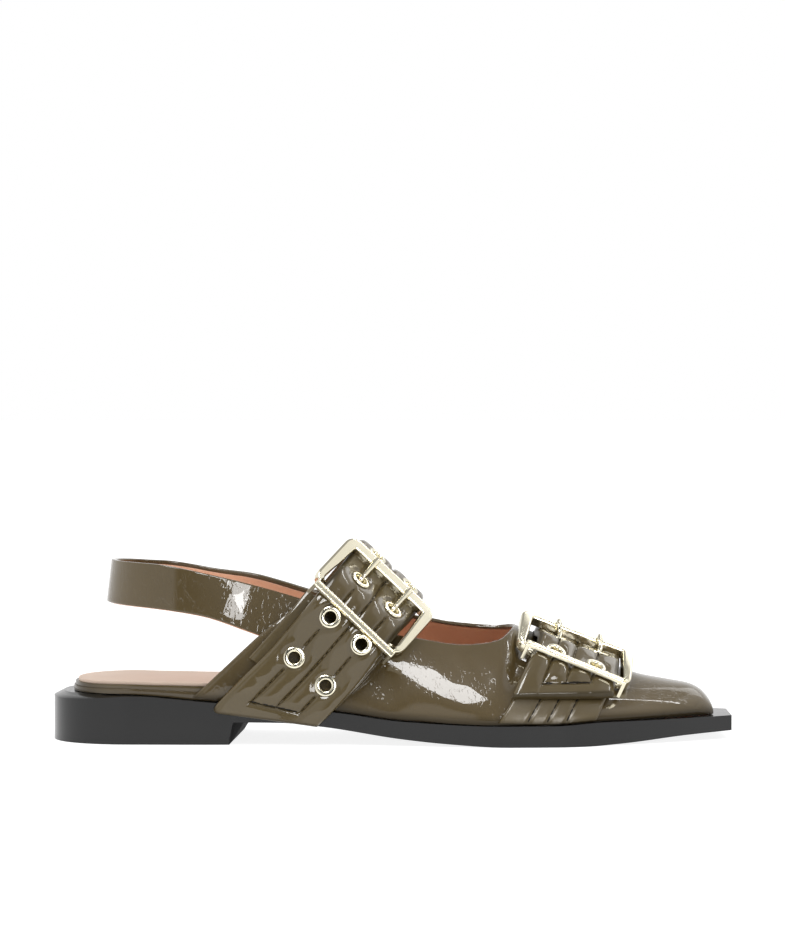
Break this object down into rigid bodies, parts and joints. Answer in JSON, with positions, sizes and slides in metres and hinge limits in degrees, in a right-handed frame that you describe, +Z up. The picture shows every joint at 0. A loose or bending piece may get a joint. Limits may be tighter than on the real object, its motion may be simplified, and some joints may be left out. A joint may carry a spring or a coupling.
{
  "type": "pointed slingback flat shoe",
  "caption": "Right-foot pointed slingback flat in olive patent leather with buckled quilted belts over instep and toe and a low black block-heeled sole.",
  "frame": {"origin": "on the floor, under the middle of the box round the whole shoe", "axes": "+X towards the toe, +Y towards the inner side of the foot, +Z up"},
  "size_m": [0.272, 0.09, 0.0812],
  "materials": {
    "black_sole": "smooth black moulded unit sole, satin, with a light polish on the edge",
    "tan_leather": "smooth pale tan sock leather, matt, with fine grain",
    "olive_patent": "olive-brown crinkled patent leather with a thick glossy coat, tan lining",
    "pale_gold_metal": "polished pale gold plating"
  },
  "bodies": {
    "root": {"insole": "tan_leather", "insole_board": "olive_patent", "instep_buckle_frame": "pale_gold_metal", "instep_buckle_strap": "olive_patent", "instep_eyelet_lower_front": "pale_gold_metal", "instep_eyelet_lower_rear": "pale_gold_metal", "instep_eyelet_prong_front": "pale_gold_metal", "instep_eyelet_prong_rear": "pale_gold_metal", "instep_eyelet_top_front": "pale_gold_metal", "instep_eyelet_top_rear": "pale_gold_metal", "instep_eyelet_upper_front": "pale_gold_metal", "instep_eyelet_upper_rear": "pale_gold_metal", "instep_keeper": "pale_gold_metal", "instep_prong_front": "pale_gold_metal", "instep_prong_rear": "pale_gold_metal", "instep_strap": "olive_patent", "outsole": "black_sole", "slingback_strap": "olive_patent", "toe_buckle_frame": "pale_gold_metal", "toe_buckle_strap": "olive_patent", "toe_eyelet_prong_front": "pale_gold_metal", "toe_eyelet_prong_rear": "pale_gold_metal", "toe_eyelet_upper_front": "pale_gold_metal", "toe_eyelet_upper_rear": "pale_gold_metal", "toe_keeper": "pale_gold_metal", "toe_prong_front": "pale_gold_metal", "toe_prong_rear": "pale_gold_metal", "toe_strap": "olive_patent", "upper": "olive_patent"}
  },
  "joints": []
}
